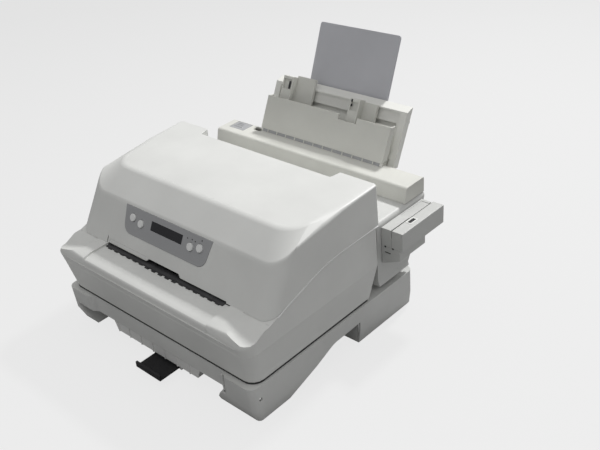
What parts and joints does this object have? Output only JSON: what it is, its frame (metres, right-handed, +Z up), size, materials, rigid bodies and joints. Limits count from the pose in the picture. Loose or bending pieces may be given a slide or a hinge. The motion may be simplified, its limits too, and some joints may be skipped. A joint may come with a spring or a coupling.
{
  "type": "transaction printer",
  "caption": "Counter-top passbook and form printer on a raised stand, with a hinged cover, front slot, key panel, side card reader and a leaning rear sheet feeder.",
  "frame": {"origin": "under the middle of the machine's bounding box, on the counter", "axes": "+X to the machine's right as seen by the user in front, +Y to its back, +Z up"},
  "size_m": [0.4226, 0.4978, 0.3509],
  "materials": {
    "case_white": "fine moulded texture, very light grey",
    "stand_grey": "fine moulded texture, light grey",
    "feeder_cream": "moulded plastic, slightly yellowed pale grey",
    "panel_grey": "satin mid-grey plastic",
    "board_grey": "satin blue-grey plastic",
    "black_plastic": "textured black plastic",
    "display_dark": "glossy dark window",
    "key_white": "satin off-white plastic",
    "steel_plate": "zinc-plated sheet and bar",
    "rubber_black": "dull rubber",
    "gear_plastic": "natural acetal",
    "circuit_green": "coated glass-fibre board"
  },
  "bodies": {
    "base": {"stand_frame": "stand_grey", "foot_pad_front_left": "rubber_black", "foot_pad_front_right": "rubber_black", "foot_pad_rear_left": "rubber_black", "foot_pad_rear_right": "rubber_black", "document_tray": "stand_grey", "lower_case": "case_white", "slot_lip": "black_plastic", "hinge_pin_left": "steel_plate", "hinge_pin_right": "steel_plate", "chassis_base": "steel_plate", "chassis_side_left": "steel_plate", "chassis_side_right": "steel_plate", "paper_bed": "steel_plate", "platen": "rubber_black", "feed_motor": "steel_plate", "carriage_shaft": "steel_plate", "carriage_bridge": "steel_plate", "carriage_belt": "rubber_black", "carriage_motor": "steel_plate", "ribbon_cassette": "black_plastic", "main_board": "circuit_green", "power_supply": "steel_plate", "rear_case": "case_white", "power_inlet": "black_plastic", "interface_socket": "steel_plate", "switch_bezel": "black_plastic", "feeder_beam": "feeder_cream", "hopper_front_plate": "feeder_cream", "hopper_frame": "feeder_cream", "reader_inner_block": "case_white", "reader_outer_block": "case_white", "reader_window": "display_dark", "reader_bracket": "case_white"},
    "cover": {"top_cover": "case_white", "control_panel": "panel_grey", "display_window": "display_dark"},
    "key_1": {"key_1": "key_white"},
    "key_2": {"key_2": "key_white"},
    "key_3": {"key_3": "key_white"},
    "key_4": {"key_4": "key_white"},
    "front_feed": {"front_drive_roller": "rubber_black", "front_feed_gear": "gear_plastic"},
    "rear_feed": {"rear_drive_roller": "rubber_black", "rear_feed_gear": "gear_plastic"},
    "pinion": {"motor_pinion": "gear_plastic"},
    "front_pinch": {"front_pinch_roller": "rubber_black"},
    "rear_pinch": {"rear_pinch_roller": "rubber_black"},
    "carriage": {"carriage": "black_plastic", "print_head": "steel_plate"},
    "drive_pulley": {"drive_pulley": "gear_plastic"},
    "idler_pulley": {"idler_pulley": "gear_plastic"},
    "document_slide": {"document_slide": "black_plastic"},
    "guide_left": {"paper_guide_left": "feeder_cream"},
    "guide_right": {"paper_guide_right": "feeder_cream"},
    "paper_support": {"paper_support": "board_grey"},
    "pickup": {"pickup_roller": "rubber_black"},
    "lock_knob": {"lock_knob": "black_plastic"},
    "power_rocker": {"power_rocker": "black_plastic"}
  },
  "joints": [
    {"name": "cover_hinge", "type": "hinge", "parent": "base", "child": "cover", "pos_m": [-0.01425, 0.03311, 0.18], "axis": [-1, 0, 0], "range_deg": [0, 58]},
    {"name": "key_1_press", "type": "slide", "parent": "cover", "child": "key_1", "axis": [0, 0.884, -0.4676], "range_m": [0, 0.0011], "stiffness_N_per_m": 320, "springref_m": -0.0005},
    {"name": "key_2_press", "type": "slide", "parent": "cover", "child": "key_2", "axis": [0, 0.884, -0.4676], "range_m": [0, 0.0011], "stiffness_N_per_m": 320, "springref_m": -0.0005},
    {"name": "key_3_press", "type": "slide", "parent": "cover", "child": "key_3", "axis": [0, 0.884, -0.4676], "range_m": [0, 0.0011], "stiffness_N_per_m": 320, "springref_m": -0.0005},
    {"name": "key_4_press", "type": "slide", "parent": "cover", "child": "key_4", "axis": [0, 0.884, -0.4676], "range_m": [0, 0.0011], "stiffness_N_per_m": 320, "springref_m": -0.0005},
    {"name": "front_feed_spin", "type": "hinge", "parent": "base", "child": "front_feed", "pos_m": [-0.01425, -0.12789, 0.1304], "axis": [1, 0, 0], "continuous": true},
    {"name": "rear_feed_spin", "type": "hinge", "parent": "base", "child": "rear_feed", "pos_m": [-0.01425, -0.02289, 0.1304], "axis": [1, 0, 0], "continuous": true},
    {"name": "pinion_spin", "type": "hinge", "parent": "base", "child": "pinion", "pos_m": [-0.19225, -0.07539, 0.1004], "axis": [1, 0, 0], "continuous": true},
    {"name": "front_pinch_spin", "type": "hinge", "parent": "base", "child": "front_pinch", "pos_m": [-0.01425, -0.12789, 0.1474], "axis": [1, 0, 0], "continuous": true},
    {"name": "rear_pinch_spin", "type": "hinge", "parent": "base", "child": "rear_pinch", "pos_m": [-0.01425, -0.02289, 0.1474], "axis": [1, 0, 0], "continuous": true},
    {"name": "carriage_slide", "type": "slide", "parent": "base", "child": "carriage", "axis": [1, 0, 0], "range_m": [-0.02, 0.2]},
    {"name": "drive_pulley_spin", "type": "hinge", "parent": "base", "child": "drive_pulley", "pos_m": [-0.16425, -0.11489, 0.185], "axis": [0, 0, 1], "continuous": true},
    {"name": "idler_pulley_spin", "type": "hinge", "parent": "base", "child": "idler_pulley", "pos_m": [0.13575, -0.11489, 0.185], "axis": [0, 0, 1], "continuous": true},
    {"name": "document_slide_travel", "type": "slide", "parent": "base", "child": "document_slide", "axis": [0, 1, 0], "range_m": [0, 0.027]},
    {"name": "guide_left_travel", "type": "slide", "parent": "base", "child": "guide_left", "axis": [1, 0, 0], "range_m": [-0.014, 0.028]},
    {"name": "guide_right_travel", "type": "slide", "parent": "base", "child": "guide_right", "axis": [1, 0, 0], "range_m": [-0.012, 0.034]},
    {"name": "paper_support_travel", "type": "slide", "parent": "base", "child": "paper_support", "axis": [0, 0.3746, 0.9272], "range_m": [-0.028, 0]},
    {"name": "pickup_spin", "type": "hinge", "parent": "base", "child": "pickup", "pos_m": [-0.01425, 0.17313, 0.19076], "axis": [1, 0, 0], "continuous": true},
    {"name": "lock_knob_turn", "type": "hinge", "parent": "base", "child": "lock_knob", "pos_m": [0.10505, 0.20125, 0.24157], "axis": [0, 0.8988, -0.4384], "continuous": true},
    {"name": "power_rocker_tilt", "type": "hinge", "parent": "base", "child": "power_rocker", "pos_m": [0.07075, 0.12304, 0.11], "axis": [1, 0, 0], "range_deg": [0, 9]}
  ],
  "couplings": [
    {"joint": "rear_feed_spin", "follows": "front_feed_spin", "ratio": 1},
    {"joint": "pinion_spin", "follows": "front_feed_spin", "ratio": -2.25},
    {"joint": "front_pinch_spin", "follows": "front_feed_spin", "ratio": -1},
    {"joint": "rear_pinch_spin", "follows": "front_feed_spin", "ratio": -1},
    {"joint": "drive_pulley_spin", "follows": "carriage_slide", "rad_per_m": -114.94},
    {"joint": "idler_pulley_spin", "follows": "carriage_slide", "rad_per_m": -114.94}
  ]
}
